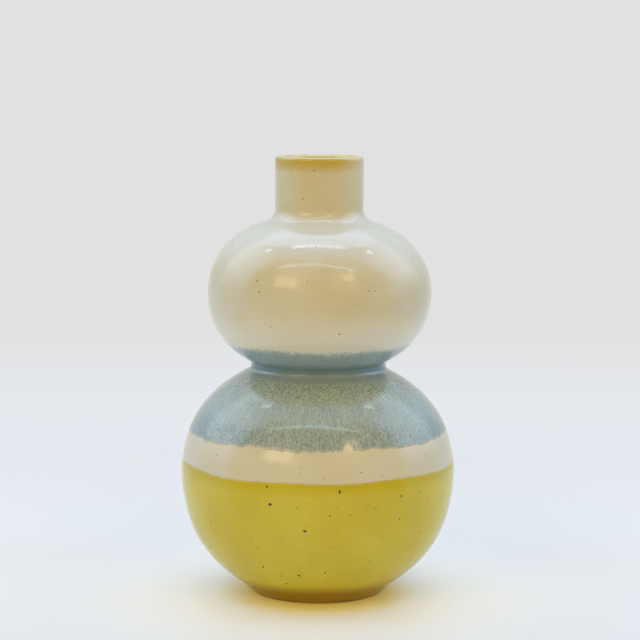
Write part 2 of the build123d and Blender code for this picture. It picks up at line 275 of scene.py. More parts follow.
class Skin:
    """The vase's whole outline as one line, measured by the distance run along it."""

    def __init__(self, sizes):
        foot_edge = np.array((sizes.foot_top_radius, sizes.foot_height))
        foot_slope = foot_edge - np.array((sizes.foot_bottom_radius, 0.0))
        foot_slope = foot_slope / np.linalg.norm(foot_slope)

        flank_drop = (sizes.lower_flank - sizes.lower_base) * math.sin(sizes.lower_flank_turn)
        flank_shift = (sizes.lower_flank - sizes.lower_base) * math.cos(sizes.lower_flank_turn)
        base_across = sizes.foot_top_radius - (sizes.lower_radius - sizes.lower_flank + flank_shift)
        lower_level = sizes.foot_height + math.sqrt(sizes.lower_base ** 2 - base_across ** 2) + flank_drop
        lower = bulb_arcs(
            sizes.lower_radius, lower_level, sizes.lower_base, sizes.lower_flank,
            sizes.lower_flank_turn, sizes.lower_crown, sizes.lower_crown_turn, sizes.lower_shoulder,
        )
        upper = bulb_arcs(
            sizes.upper_radius, sizes.total_height - sizes.mouth_drop, sizes.upper_base, sizes.upper_flank,
            sizes.upper_flank_turn, sizes.upper_crown, sizes.upper_crown_turn, sizes.upper_shoulder,
        )
        foot = hollow_in_corner(foot_edge, foot_slope, lower[0], sizes.foot_hollow)
        low_waist = hollow_on_column(lower[3], sizes.waist_hollow, sizes.waist_radius, 1.0)
        high_waist = hollow_on_column(upper[0], sizes.waist_hollow, sizes.waist_radius, -1.0)
        neck = hollow_on_column(upper[3], sizes.neck_hollow, sizes.neck_radius, 1.0)
        low_angle = bearing(lower[3][0], low_waist)
        high_angle = bearing(upper[0][0], high_waist)
        neck_angle = bearing(upper[3][0], neck)
        foot_angle = bearing(lower[0][0], foot)
        lower[0][2] = foot_angle
        lower[3][3] = low_angle
        upper[0][2] = high_angle
        upper[3][3] = neck_angle

        half_turn = math.pi
        inner = sizes.wall
        bore = sizes.neck_radius - sizes.wall
        top = sizes.total_height
        outer_corner = sizes.neck_radius - sizes.lip_outer_round
        inner_corner = bore + sizes.lip_inner_round
        bare_point = foot_edge - foot_slope * (sizes.foot_height - sizes.bare_foot) / foot_slope[1]
        foot_touch = foot - sizes.foot_hollow * np.array((foot_slope[1], -foot_slope[0]))

        outside = [line_stroke(bare_point, foot_touch)]
        touch_angle = bearing(foot, foot_touch)
        outside.append(arc_stroke(foot, sizes.foot_hollow, touch_angle, foot_angle + half_turn))
        outside += [arc_stroke(*arc) for arc in lower]
        outside.append(arc_stroke(low_waist, sizes.waist_hollow, low_angle + half_turn, half_turn))
        outside.append(line_stroke((sizes.waist_radius, low_waist[1]), (sizes.waist_radius, high_waist[1])))
        outside.append(arc_stroke(high_waist, sizes.waist_hollow, half_turn, high_angle + half_turn))
        outside += [arc_stroke(*arc) for arc in upper]
        outside.append(arc_stroke(neck, sizes.neck_hollow, neck_angle + half_turn, half_turn))
        outside.append(line_stroke((sizes.neck_radius, neck[1]),
                                   (sizes.neck_radius, top - sizes.lip_outer_round)))

        lip = [
            arc_stroke((outer_corner, top - sizes.lip_outer_round), sizes.lip_outer_round,
                       0.0, half_turn / 2),
            line_stroke((outer_corner, top), (inner_corner, top)),
            arc_stroke((inner_corner, top - sizes.lip_inner_round), sizes.lip_inner_round,
                       half_turn / 2, half_turn),
        ]

        def lining(arcs):
            """The inside of a bulb, from top to bottom: the same arcs, smaller by the wall."""
            return [arc_stroke(centre, radius - inner, last, first)
                    for centre, radius, first, last in reversed(arcs)]

        base_centre, base_radius = lower[0][0], lower[0][1] - inner
        lower[0][2] = -math.asin((base_centre[1] - sizes.floor_level) / base_radius)
        floor_corner = base_centre[0] + base_radius * math.cos(lower[0][2])
        inside = [line_stroke((bore, top - sizes.lip_inner_round), (bore, neck[1]))]
        inside.append(arc_stroke(neck, sizes.neck_hollow + inner, half_turn, neck_angle + half_turn))
        inside += lining(upper)
        inside.append(arc_stroke(high_waist, sizes.waist_hollow + inner, high_angle + half_turn, half_turn))
        inside.append(line_stroke((sizes.waist_radius - inner, high_waist[1]),
                                  (sizes.waist_radius - inner, low_waist[1])))
        inside.append(arc_stroke(low_waist, sizes.waist_hollow + inner, half_turn, low_angle + half_turn))
        inside += lining(lower)
        inside.append(line_stroke((floor_corner, sizes.floor_level), (0.0, sizes.floor_level)))

        strokes = outside + lip + inside
        points = np.concatenate([stroke[0] for stroke in strokes])
        outward = np.concatenate([stroke[1] for stroke in strokes])
        steps = np.linalg.norm(np.diff(points, axis=0), axis=1)
        self.run = np.concatenate(((0.0,), np.cumsum(steps)))
        self.points = points
        self.outward = outward
        self.outside_count = sum(len(stroke[0]) for stroke in outside)
        self.inside_first = len(points) - sum(len(stroke[0]) for stroke in inside)

    def station(self, height):
        """Distance along the outline at which the outside reaches a height."""
        return np.interp(height, self.points[:self.outside_count, 1], self.run[:self.outside_count])

    def inner_station(self, height):
        """Distance along the outline at which the bore comes down to a height."""
        heights = self.points[self.inside_first:, 1]
        return float(np.interp(-height, -heights, self.run[self.inside_first:]))

    def at(self, run):
        """Radius, height and outward direction of the outline at distances along it."""
        radius = np.interp(run, self.run, self.points[:, 0])
        height = np.interp(run, self.run, self.points[:, 1])
        out_radius = np.interp(run, self.run, self.outward[:, 0])
        out_height = np.interp(run, self.run, self.outward[:, 1])
        return radius, height, out_radius, out_height


# Surfaces

def hand_relief(skin, angle, run):
    """Height of the thrown surface over the true outline: rings of a few wavelengths along the
    outline, each a little stronger on one side, broad swellings round the vase, and an upper bulb
    that is off centre to the right and fuller below its middle."""
    rings = np.zeros(np.broadcast(angle, run).shape)
    for wavelength, height, phase in ((41.0, 0.060, 0.4), (17.0, 0.025, 1.9)):
        along = 2.0 * math.pi * run / (wavelength * MILLIMETRE) + phase
        rings = rings + height * MILLIMETRE * np.sin(along + 0.7 * np.sin(angle + phase))
    swellings = np.zeros_like(rings)
    for waves, height, phase in ((2, 0.050, 0.3), (3, 0.045, 2.2), (5, 0.030, 5.0), (9, 0.014, 1.1)):
        across = waves * angle + phase + 18.0 * run * math.sin(3.0 * phase)
        swellings = swellings + height * MILLIMETRE * np.cos(across)
    to_right = (0.5 + 0.5 * np.cos(angle)) ** 2
    off_centre = 1.2 * np.exp(-((run - skin.station(0.197)) / 0.022) ** 2) * to_right
    fuller = 0.7 * np.exp(-((run - skin.station(0.178)) / 0.013) ** 2)
    return rings + swellings + (off_centre + fuller) * MILLIMETRE


def wandering(angle, seed, waves):
    """A line that wanders round the vase and closes on itself: a sum of waves, given as a first and
    a last number of waves round the vase and the height that they share, with random phases."""
    chance = np.random.default_rng(seed)
    line = np.zeros_like(angle)
    for first, last, height in waves:
        counts = np.unique(np.linspace(first, last, 12).astype(int))
        share = height * MILLIMETRE * math.sqrt(2.0 / len(counts))
        phases = chance.uniform(0.0, 2.0 * math.pi, len(counts))
        line = line + share * np.cos(counts[:, None] * angle[None, :] + phases[:, None]).sum(axis=0)
    return line


def smooth_step(value, low, high):
    """0 below the low end and 1 above the high end, with a smooth rise between."""
    share = np.clip((value - low) / (high - low), 0.0, 1.0)
    return share * share * (3.0 - 2.0 * share)


def grid_mesh(name, points, attributes, edge_rows=()):
    """A mesh from a closed grid of points: rows run round the cross-section and columns round the
    vase, and the last of each joins the first. The faces after an edge row are shaded flat, so that
    the surfaces on both sides of it keep their own shading."""
    rows, columns = points.shape[:2]
    row = np.arange(rows)[:, None]
    column = np.arange(columns)[None, :]
    next_row = (row + 1) % rows
    next_column = (column + 1) % columns
    corners = np.stack(
        (
            row * columns + column,
            row * columns + next_column,
            next_row * columns + next_column,
            next_row * columns + column,
        ),
        axis=-1,
    ).reshape(-1, 4)
    mesh = bpy.data.meshes.new(name)
    mesh.vertices.add(rows * columns)
    mesh.vertices.foreach_set("co", points.astype(np.float32).ravel())
    mesh.loops.add(corners.size)
    mesh.loops.foreach_set("vertex_index", corners.astype(np.int32).ravel())
    mesh.polygons.add(len(corners))
    mesh.polygons.foreach_set("loop_start", np.arange(0, corners.size, 4, dtype=np.int32))
    smooth = np.ones((rows, columns), dtype=bool)
    smooth[list(edge_rows)] = False
    mesh.polygons.foreach_set("use_smooth", smooth.ravel())
    for label, values in attributes.items():
        kind = "FLOAT_VECTOR" if values.ndim == 3 else "FLOAT"
        field = "vector" if values.ndim == 3 else "value"
        attribute = mesh.attributes.new(label, kind, "POINT")
        attribute.data.foreach_set(field, values.astype(np.float32).ravel())
    mesh.update(calc_edges=True)
    mesh.validate()
    return mesh


def add_piece(name, mesh, material, node):
    """An object for a finished mesh, riding on the vase in place of the named solid, if there is one."""
    mesh.materials.append(material)
    piece = bpy.data.objects.new(name, mesh)
    bpy.context.scene.collection.objects.link(piece)
    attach(piece, "root")
    if node is not None:
        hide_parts(node)


def coat_mesh(name, skin, sizes, first, last, rows, lift, columns=COLUMNS):
    """A coat of glaze as a closed shell. Its face runs along the outline from a first to a last
    distance, which may wander round the vase, and stands over the outline by the hand's relief and
    by lift, a function of the angle and of the distances from both edges. Its back lies one coat
    below the outline. Each point is the outline's radius and height, moved along the outward
    direction and turned round the axis by the angle."""
    angle = np.linspace(0.0, 2.0 * math.pi, columns, endpoint=False)
    first = np.broadcast_to(first, angle.shape)
    last = np.broadcast_to(last, angle.shape)
    even = np.linspace(0.0, 1.0, rows)
    face_share = even - 0.18 * np.sin(2.0 * math.pi * even) / math.pi
    back_share = np.linspace(1.0, 0.0, rows // 3)
    share = np.concatenate((face_share, back_share))[:, None]
    run = first + share * (last - first)
    from_first = run - first
    from_last = last - run
    is_face = (np.arange(len(share)) < rows)[:, None]
    face_height = hand_relief(skin, angle[None, :], run) + lift(angle[None, :], from_first, from_last)
    height_over = np.where(is_face, face_height, -sizes.coat)
    radius, height, out_radius, out_height = skin.at(run)
    spread = np.maximum(radius + height_over * out_radius, 0.0)
    rise = height + height_over * out_height
    points = np.stack((spread * np.cos(angle), spread * np.sin(angle), rise), axis=-1)
    belt = sizes.lower_radius
    around = np.broadcast_to(angle, run.shape)
    attributes = {
        "run": np.stack((belt * np.cos(around), belt * np.sin(around), run), axis=-1),
        "from_low": from_first,
        "from_high": from_last,
    }
    return grid_mesh(name, points, attributes, edge_rows=(rows - 1, len(share) - 1))


def close_pole(mesh):
    """Joins the points of a ring that has shrunk to the axis."""
    shell = bmesh.new()
    shell.from_mesh(mesh)
    bmesh.ops.remove_doubles(shell, verts=shell.verts, dist=1e-4 * MILLIMETRE)
    shell.to_mesh(mesh)
    shell.free()
    mesh.update(calc_edges=True)


def flush(angle, from_first, from_last):
    """A coat that stays level up to both of its edges."""
    return np.zeros(np.broadcast(angle, from_first).shape)


def overlapping(thickness, first_width, last_width):
    """A coat that lies over its neighbours: it rises from just under their face to its thickness
    within a given width of each edge. A width of nothing leaves that edge level."""
    def lift(angle, from_first, from_last):
        rise = np.ones(np.broadcast(angle, from_first).shape)
        if first_width > 0.0:
            rise = rise * smooth_step(from_first, 0.0, first_width)
        if last_width > 0.0:
            rise = rise * smooth_step(from_last, 0.0, last_width)
        return (1.4 * rise - 0.4) * thickness
    return lift


# Finishes

class Nodes:
    """A node tree, with short calls for the nodes that the finishes and the studio share."""

    def __init__(self, tree):
        self.tree = tree

    def node(self, kind, **settings):
        """A new node with its own settings."""
        made = self.tree.nodes.new(kind)
        for name, value in settings.items():
            setattr(made, name, value)
        return made

    def feed(self, socket, value):
        """Gives a socket a value, or a wire from another node."""
        if isinstance(value, bpy.types.NodeSocket):
            self.tree.links.new(value, socket)
        else:
            socket.default_value = value

    def sums(self, operation, first, second=0.0):
        """Arithmetic on two numbers."""
        made = self.node("ShaderNodeMath", operation=operation)
        self.feed(made.inputs[0], first)
        self.feed(made.inputs[1], second)
        return made.outputs[0]

    def part_way(self, share, first, second):
        """Two numbers mixed by a share."""
        made = self.node("ShaderNodeMix", data_type="FLOAT")
        self.feed(made.inputs[0], share)
        self.feed(made.inputs[2], first)
        self.feed(made.inputs[3], second)
        return made.outputs[0]

    def between(self, value, low, high, low_result=0.0, high_result=1.0):
        """A smooth rise from one result to another as a value goes from low to high."""
        made = self.node("ShaderNodeMapRange", interpolation_type="SMOOTHSTEP")
        for number, part in enumerate((value, low, high, low_result, high_result)):
            self.feed(made.inputs[number], part)
        return made.outputs[0]

    def blend(self, share, first, second):
        """Two colours mixed by a share."""
        made = self.node("ShaderNodeMix", data_type="RGBA")
        self.feed(made.inputs[0], share)
        self.feed(made.inputs[6], first)
        self.feed(made.inputs[7], second)
        return made.outputs[2]

    def shade(self, base, amount):
        """A colour made lighter or darker by a number around 1."""
        made = self.node("ShaderNodeVectorMath", operation="SCALE")
        self.feed(made.inputs[0], base)
        self.feed(made.inputs["Scale"], amount)
        return made.outputs[0]


class Finish(Nodes):
    """The node tree of a material, with calls for what the glazes and the clay share."""

    def __init__(self, name, roughness, refraction):
        self.material = bpy.data.materials.new(name)
        self.material.use_nodes = True
        super().__init__(self.material.node_tree)
        self.shader = self.tree.nodes["Principled BSDF"]
        self.shader.inputs["Roughness"].default_value = roughness
        self.shader.inputs["IOR"].default_value = refraction
        self.place = self.node("ShaderNodeTexCoord").outputs["Object"]
        parts = self.node("ShaderNodeSeparateXYZ")
        self.feed(parts.inputs[0], self.place)
        self.to_right, self.to_back, self.height = (parts.outputs[axis] for axis in "XYZ")

    def stretched(self, vector, factors):
        """A vector with each part multiplied by its own factor."""
        made = self.node("ShaderNodeVectorMath", operation="MULTIPLY")
        self.feed(made.inputs[0], vector)
        self.feed(made.inputs[1], factors)
        return made.outputs[0]

    def noise(self, vector, scale, detail=2.0, roughness=0.5):
        """Soft noise between 0 and 1."""
        made = self.node("ShaderNodeTexNoise")
        self.feed(made.inputs["Vector"], vector)
        self.feed(made.inputs["Scale"], scale)
        self.feed(made.inputs["Detail"], detail)
        self.feed(made.inputs["Roughness"], roughness)
        return made.outputs["Fac"]

    def attribute(self, name, output):
        """A value that the mesh carries at its points."""
        return self.node("ShaderNodeAttribute", attribute_name=name).outputs[output]

    def specks(self, cells, size, share):
        """Round specks: cells in each metre, a speck's radius as a part of a cell, and the part of the
        cells that hold one."""
        made = self.node("ShaderNodeTexVoronoi")
        self.feed(made.inputs["Vector"], self.place)
        self.feed(made.inputs["Scale"], cells)
        parts = self.node("ShaderNodeSeparateColor")
        self.feed(parts.inputs[0], made.outputs["Color"])
        chosen = self.sums("LESS_THAN", parts.outputs[0], share)
        grown = self.sums("MULTIPLY_ADD", parts.outputs[1], size * 0.7)
        self.feed(grown.node.inputs[2], size * 0.5)
        inside = self.between(made.outputs["Distance"], self.sums("MULTIPLY", grown, 0.6), grown, 1.0, 0.0)
        return self.sums("MULTIPLY", inside, chosen)

    def paint(self, base):
        """Uses a colour for the surface."""
        self.feed(self.shader.inputs["Base Color"], base)

    def bump(self, relief, depth):
        """Fine relief, in metres for a change of 1."""
        made = self.node("ShaderNodeBump")
        self.feed(made.inputs["Height"], relief)
        self.feed(made.inputs["Strength"], 1.0)
        self.feed(made.inputs["Distance"], depth)
        self.feed(self.shader.inputs["Normal"], made.outputs[0])


def solid(values):
    """A colour with its alpha."""
    return (*values, 1.0)


def glaze_surface(finish, roughness):
    """The skin of a fired glaze: a slight peel and patches that are a little less smooth."""
    peel = finish.noise(finish.place, 420.0, 2.0)
    patches = finish.noise(finish.place, 60.0, 2.0)
    finish.bump(peel, 0.05 * MILLIMETRE)
    finish.feed(finish.shader.inputs["Roughness"],
                finish.between(patches, 0.3, 0.75, roughness * 0.7, roughness * 1.5))


def cream_colour(finish, colours):
    """Cream glaze: warm and pale clouds, faint level lines from the wheel, fine grain and pinpoint specks.
    It is paler on the band, pale yellow inside the lip, and ochre under the lip, less so to the right, with
    a little of it down the neck. It also holds painted light: paler and cooler on the shoulder for the
    roof's light, paler above the blue for bounce light on the upper bulb's underside, and paler cream over
    the top of the lip as a painted highlight."""
    run = finish.attribute("run", "Vector")
    clouds = finish.noise(finish.place, 34.0, 3.0)
    base = finish.blend(finish.between(clouds, 0.35, 0.7), solid(colours.cream), solid(colours.cream_warm))
    lines = finish.noise(finish.stretched(run, (16.0, 16.0, 260.0)), 1.0, 3.0)
    base = finish.shade(base, finish.between(lines, 0.3, 0.7, 0.993, 1.007))
    grain = finish.noise(finish.place, 1500.0, 2.0)
    base = finish.shade(base, finish.between(grain, 0.3, 0.7, 0.965, 1.03))
    height = finish.height
    # Painted bounce light: the cream on the upper bulb's underside, just above the blue, is made paler.
    painted_underside_light = finish.sums("MULTIPLY", finish.between(height, 0.120, 0.150),
                             finish.between(height, 0.166, 0.195, 1.0, 0.0))
    # Painted skylight: the shoulder's cream is made paler and cooler for the roof's light.
    painted_skylight = finish.sums("MULTIPLY", finish.between(height, 0.206, 0.238),
                              finish.between(height, 0.2395, 0.2445, 0.9, 0.0))
    reach = finish.node("ShaderNodeVectorMath", operation="LENGTH")
    finish.feed(reach.inputs[0], finish.stretched(finish.place, (1.0, 1.0, 0.0)))
    outside = finish.between(reach.outputs["Value"], 0.0262, 0.0276)
    within = finish.sums("MULTIPLY", finish.between(height, 0.2700, 0.2740),
                         finish.sums("SUBTRACT", 1.0, outside))
    on_band = finish.between(height, 0.118, 0.112, 0.0, 0.45)
    pale = finish.sums("MAXIMUM", painted_underside_light, on_band)
    base = finish.blend(finish.sums("MULTIPLY", pale, 0.85), base, solid(colours.cream_pale))
    base = finish.blend(painted_skylight, base, solid(colours.cream_skylit))
    base = finish.blend(within, base, solid(colours.lip_pale))
    ragged = finish.noise(finish.stretched(run, (45.0, 45.0, 45.0)), 1.0, 2.0)
    wander = finish.sums("MULTIPLY", finish.sums("SUBTRACT", ragged, 0.5), 4.0 * MILLIMETRE)
    # Over the top of the lip the ochre thins out and paler cream shows: a painted highlight on the lip's
    # edge.
    near_lip = finish.sums("MULTIPLY", finish.between(finish.sums("ADD", height, wander), 0.2672, 0.2768),
                           finish.between(height, 0.2788, 0.2799, 1.0, 0.1))
    on_neck = finish.between(height, 0.2440, 0.2490, 0.0, 0.20)
    near_lip = finish.sums("MULTIPLY", near_lip, finish.between(finish.to_right, 0.012, 0.027, 1.0, 0.45))
    ochre_share = finish.sums("MULTIPLY", finish.sums("MAXIMUM", near_lip, on_neck), outside)
    base = finish.blend(ochre_share, base, solid(colours.ochre))
    fine = finish.specks(240.0, 0.11, 0.13)
    return finish.blend(finish.sums("MULTIPLY", fine, 0.6), base, solid(colours.iron))


def cream_finish(name, roughness, colours):
    """Cream glaze of a given roughness, which breaks to ochre at the lip."""
    finish = Finish(name, roughness, 1.55)
    finish.paint(cream_colour(finish, colours))
    glaze_surface(finish, roughness)
    return finish.material


def yellow_finish(colours):
    """Yellow glaze: soft clouds and faint runs, deeper near its top and faded at its very edge, where cream
    shows through, brown where it thins over the foot and up to 17 mm, which is also painted shade under the
    bulb, and pinpoint iron specks."""
    finish = Finish("yellow_fired", 0.09, 1.48)
    finish.shader.inputs["Specular IOR Level"].default_value = 0.42
    run = finish.attribute("run", "Vector")
    from_high = finish.attribute("from_high", "Fac")
    clouds = finish.noise(finish.place, 30.0, 3.0)
    runs = finish.noise(finish.stretched(run, (150.0, 150.0, 26.0)), 1.0, 3.0)
    base = finish.blend(finish.between(clouds, 0.3, 0.75, 0.0, 0.55),
                        solid(colours.yellow), solid(colours.yellow_deep))
    base = finish.shade(base, finish.between(runs, 0.3, 0.7, 0.985, 1.015))
    grain = finish.noise(finish.place, 1300.0, 2.0)
    base = finish.shade(base, finish.between(grain, 0.3, 0.7, 0.95, 1.04))
    pooled = finish.between(from_high, 2.0 * MILLIMETRE, 11.0 * MILLIMETRE, 1.0, 0.0)
    pooled = finish.sums("MULTIPLY", pooled, finish.between(clouds, 0.3, 0.65, 0.55, 1.0))
    base = finish.blend(pooled, base, solid(colours.yellow_deep))
    faded = finish.between(from_high, 0.2 * MILLIMETRE, 2.4 * MILLIMETRE, 0.9, 0.0)
    base = finish.blend(faded, base, solid(colours.cream_warm))
    # Brown from the foot up to 17 mm: the glaze thinning over the clay, and painted shade under the lower
    # bulb.
    thin = finish.between(finish.height, 8.0 * MILLIMETRE, 17.0 * MILLIMETRE, 0.95, 0.0)
    base = finish.blend(thin, base, solid(colours.foot_brown))
    fine = finish.specks(260.0, 0.14, 0.20)
    base = finish.blend(finish.sums("MULTIPLY", fine, 0.65), base, solid(colours.iron))
    finish.paint(base)
    glaze_surface(finish, 0.09)
    return finish.material


def blue_finish(colours):
    """Blue glaze: milky runs, olive and dark grains that crowd below the waist and stretch into dashes
    further down, a plainer coat under the upper bulb, a deep blue in the groove that is painted shade, and
    edges where cream shows through between the grains."""
    finish = Finish("blue_fired", 0.09, 1.55)
    run = finish.attribute("run", "Vector")
    from_low = finish.attribute("from_low", "Fac")
    from_high = finish.attribute("from_high", "Fac")
    height = finish.height
    runs = finish.noise(finish.stretched(run, (700.0, 700.0, 110.0)), 1.0, 3.0, 0.6)
    dashes = finish.noise(finish.stretched(run, (1500.0, 1500.0, 520.0)), 1.0, 2.0, 0.6)
    grains = finish.noise(finish.place, 900.0, 2.0)
    fine = finish.noise(finish.place, 2300.0, 1.0)
    clouds = finish.noise(finish.place, 45.0, 3.0)

    def part(first, second):
        return finish.sums("MULTIPLY", first, second)

    below_waist = finish.between(height, 0.1426, 0.1400)
    crowded = part(below_waist, finish.between(height, 0.1240, 0.1385))
    lowest = finish.between(height, 0.1230, 0.1100)
    milky = part(finish.between(runs, 0.38, 0.70), finish.between(below_waist, 0.0, 1.0, 0.25, 0.75))
    base = finish.blend(milky, solid(colours.blue), solid(colours.blue_pale))
    base = finish.shade(base, finish.between(fine, 0.3, 0.7, 0.84, 1.14))
    base = finish.shade(base, finish.between(lowest, 0.0, 1.0, 1.0, 0.94))
    pattern = finish.part_way(crowded, dashes, grains)
    olive_share = finish.sums("ADD", part(crowded, 0.40), part(finish.between(clouds, 0.35, 0.65), 0.25))
    olive_share = part(finish.sums("ADD", olive_share, 0.12), below_waist)
    olive_share = part(olive_share, finish.between(lowest, 0.0, 1.0, 1.0, 0.20))
    olive_share = part(finish.between(pattern, 0.48, 0.57), olive_share)
    base = finish.blend(olive_share, base, solid(colours.olive))
    dark_share = finish.sums("ADD", part(crowded, 0.40), part(lowest, 0.50))
    dark_share = finish.sums("ADD", dark_share, finish.between(below_waist, 0.0, 1.0, 0.22, 0.28))
    dark_share = part(finish.between(pattern, 0.47, 0.40), dark_share)
    base = finish.blend(dark_share, base, solid(colours.olive_dark))
    # Painted shade: a deep blue darkens the waist groove, where it lies in shade.
    from_groove = finish.sums("ABSOLUTE", finish.sums("SUBTRACT", height, 0.1475))
    painted_groove_shade = finish.between(from_groove, 0.8 * MILLIMETRE, 3.6 * MILLIMETRE, 0.9, 0.0)
    base = finish.blend(painted_groove_shade, base, solid(colours.blue_groove_shade))

    low_wander = part(finish.sums("SUBTRACT", dashes, 0.5), 8.0 * MILLIMETRE)
    low_edge = finish.between(finish.sums("ADD", from_low, low_wander), 0.0, 2.0 * MILLIMETRE, 0.85, 0.0)
    base = finish.blend(low_edge, base, solid(colours.cream))
    high_wander = finish.sums("ADD", part(finish.sums("SUBTRACT", grains, 0.5), 15.0 * MILLIMETRE),
                              part(finish.sums("SUBTRACT", fine, 0.5), 8.0 * MILLIMETRE))
    high_edge = finish.between(finish.sums("ADD", from_high, high_wander),
                               2.0 * MILLIMETRE, 6.8 * MILLIMETRE, 1.0, 0.0)
    at_border = finish.between(from_high, 0.2 * MILLIMETRE, 1.6 * MILLIMETRE, 1.0, 0.0)
    fringe = finish.blend(finish.between(from_high, 1.5 * MILLIMETRE, 6.0 * MILLIMETRE, 0.0, 0.7),
                          solid(colours.cream_pale), solid(colours.blue_pale))
    finish.paint(finish.blend(finish.sums("MAXIMUM", high_edge, at_border), base, fringe))
    finish.bump(finish.sums("ADD", runs, part(dashes, 0.25)), 0.05 * MILLIMETRE)
    finish.feed(finish.shader.inputs["Roughness"], finish.between(runs, 0.3, 0.7, 0.06, 0.13))
    return finish.material


def liner_finish(colours):
    """Thin pale glaze inside, with soft clouds and rings from the wheel."""
    finish = Finish("liner_fired", 0.16, 1.5)
    run = finish.attribute("run", "Vector")
    clouds = finish.noise(finish.place, 40.0, 3.0)
    rings = finish.noise(finish.stretched(run, (5.0, 5.0, 300.0)), 1.0, 2.0)
    base = finish.blend(finish.between(clouds, 0.3, 0.7), solid(colours.cream_warm), solid(colours.ochre))
    base = finish.shade(base, finish.between(rings, 0.3, 0.7, 0.93, 1.04))
    finish.paint(base)
    finish.bump(rings, 0.15 * MILLIMETRE)
    return finish.material


def clay_finish(name, base_colour, colours):
    """Bare fired clay: sandy grain, darker iron grit and a dry surface."""
    finish = Finish(name, 0.85, 1.5)
    sand = finish.noise(finish.place, 900.0, 3.0, 0.6)
    clouds = finish.noise(finish.place, 45.0, 3.0)
    base = finish.shade(tuple(base_colour), finish.between(sand, 0.3, 0.7, 0.82, 1.14))
    base = finish.shade(base, finish.between(clouds, 0.3, 0.7, 0.9, 1.08))
    grit = finish.specks(320.0, 0.16, 0.22)
    base = finish.blend(finish.sums("MULTIPLY", grit, 0.6), base, solid(colours.iron))
    finish.paint(base)
    finish.bump(sand, 0.12 * MILLIMETRE)
    return finish.material


def iron_finish(colours):
    """Iron specks: dark brown, a little uneven, under the same gloss as the glaze."""
    finish = Finish("iron_specks", 0.14, 1.55)
    mottle = finish.noise(finish.place, 1800.0, 2.0)
    finish.paint(finish.shade(tuple(colours.iron), finish.between(mottle, 0.3, 0.7, 0.7, 1.5)))
    return finish.material


def shared_finish(name, make):
    """A material by its name, made the first time that it is asked for."""
    found = bpy.data.materials.get(name)
    return found if found is not None else make()


# Operators

class VASE_OT_clay(bpy.types.Operator):
    """Gives the clay sections and the slip in their joints a sandy fired surface"""

    bl_idname = "vase.clay"
    bl_label = "Clay sections"

    def execute(self, context):
        colours = context.scene.vase_colours
        clay = clay_finish("clay_fired", colours.clay, colours)
        slip = clay_finish("slip_fired", colours.slip, colours)
        sections = (("lower_bulb", clay), ("upper_bulb", clay), ("neck_collar", clay))
        joints = (("foot_slip", slip), ("waist_slip", slip), ("neck_slip", slip))
        for node, material in sections + joints:
            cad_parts[node].data.materials.clear()
            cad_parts[node].data.materials.append(material)
        return {"FINISHED"}


class VASE_OT_foot(bpy.types.Operator):
    """Builds the turned foot ring: a closed cross-section with softened edges, carried round the axis"""

    bl_idname = "vase.foot"
    bl_label = "Foot ring"

    def execute(self, context):
        sizes = context.scene.vase_sizes
        colours = context.scene.vase_colours
        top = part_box("foot_ring")[1][2]
        coat = sizes.coat
        soft = 0.8 * MILLIMETRE
        slope = (sizes.foot_top_radius - sizes.foot_bottom_radius) / sizes.foot_height
        lean = math.atan(slope)
        under_coat = 1.15 * coat / math.cos(lean)
        inner = sizes.foot_inner_radius
        outer = sizes.foot_bottom_radius
        bare = sizes.bare_foot
        heel_angle = np.linspace(0.0, -math.pi / 2, 7)
        toe_angle = np.linspace(-math.pi / 2, -lean, 7)
        toe_centre = outer - soft * (1.0 - math.sin(lean)) / math.cos(lean)
        toe = np.stack((toe_centre + soft * np.cos(toe_angle), soft + soft * np.sin(toe_angle)), axis=1)
        heel_centre = inner + soft
        heel = np.stack((heel_centre - soft * np.cos(heel_angle), soft + soft * np.sin(heel_angle)), axis=1)
        sole_radius = np.linspace(heel_centre, toe_centre, 10)[1:-1]
        sole = np.stack((sole_radius, np.zeros(8)), axis=1)
        step_out = outer + slope * bare
        side_height = np.linspace(bare + 0.05 * MILLIMETRE, top, 6)
        side = np.stack((outer + slope * side_height - under_coat, side_height), axis=1)
        cap_radius = np.linspace(side[-1, 0], inner, 6)[1:]
        cap = np.stack((cap_radius, np.full(5, top)), axis=1)
        profile = np.concatenate((heel, sole, toe, ((step_out, bare),), side, cap))
        angle = np.linspace(0.0, 2.0 * math.pi, 240, endpoint=False)
        wear = wandering(angle, 11, ((3, 40, 0.08),))
        worn = smooth_step(profile[:, 1], 1.2 * MILLIMETRE, 0.4 * MILLIMETRE)[:, None] * wear[None, :]
        radius = profile[:, 0][:, None] + worn
        height = np.broadcast_to(profile[:, 1][:, None], radius.shape)
        points = np.stack((radius * np.cos(angle), radius * np.sin(angle), height), axis=-1)
        mesh = grid_mesh("foot_ring_turned", points, {})
        clay = shared_finish("clay_fired", lambda: clay_finish("clay_fired", colours.clay, colours))
        add_piece("foot_ring_turned", mesh, clay, "foot_ring")
        return {"FINISHED"}


class VASE_OT_yellow(bpy.types.Operator):
    """Builds the yellow coat of the lower bulb, which lies over the cream and thins out at its top"""

    bl_idname = "vase.yellow"
    bl_label = "Yellow coat"

    def execute(self, context):
        sizes = context.scene.vase_sizes
        skin = Skin(sizes)
        angle = np.linspace(0.0, 2.0 * math.pi, COLUMNS, endpoint=False)
        sway = 0.5 * MILLIMETRE * np.cos(7.0 * (angle - FRONT - math.radians(10.0)))
        sides = 2.2 * MILLIMETRE * np.cos(angle) ** 2 + 0.5 * MILLIMETRE * np.cos(angle)
        last = skin.station(sizes.yellow_top) + sides - sway
        last = last + (0.50 - 0.55 * np.cos(2.0 * angle)) * MILLIMETRE
        last = last + wandering(angle, 21, ((2, 6, 0.25), (9, 60, 0.12)))
        lift = overlapping(YELLOW_LIFT, 0.0, 2.4 * MILLIMETRE)
        mesh = coat_mesh("yellow_coat", skin, sizes, 0.0, last, 104, lift)
        yellow = yellow_finish(context.scene.vase_colours)
        add_piece("yellow_coat", mesh, yellow, "yellow_glaze")
        return {"FINISHED"}


